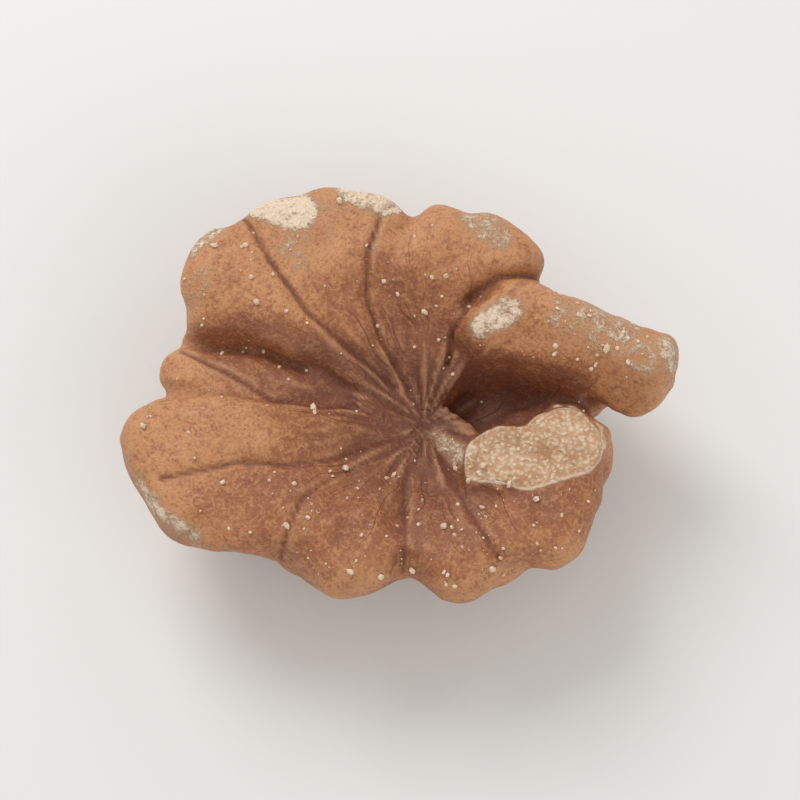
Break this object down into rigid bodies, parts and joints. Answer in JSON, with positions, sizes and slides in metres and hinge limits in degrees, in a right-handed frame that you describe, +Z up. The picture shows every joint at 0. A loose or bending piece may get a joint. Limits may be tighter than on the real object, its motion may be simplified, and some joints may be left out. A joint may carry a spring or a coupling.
{
  "type": "walnut kernel half",
  "caption": "Half of a shelled walnut kernel: creased folds fan out from a central hub to a scalloped rim, over a domed, furrowed outer side.",
  "frame": {"origin": "centre of the bounding box seen from above, on the plane the half rests on", "axes": "+X along the long way of the half, towards the end with the raised finger of kernel; +Y across it, towards the larger wing; +Z up, out of the inner face"},
  "size_m": [0.032, 0.0248, 0.0124],
  "materials": {
    "kernel_skin": "satin brown skin, darker in the creases and towards the hub, cream where the skin is rubbed or broken"
  },
  "bodies": {
    "root": {"walnut_half": "kernel_skin"}
  },
  "joints": []
}
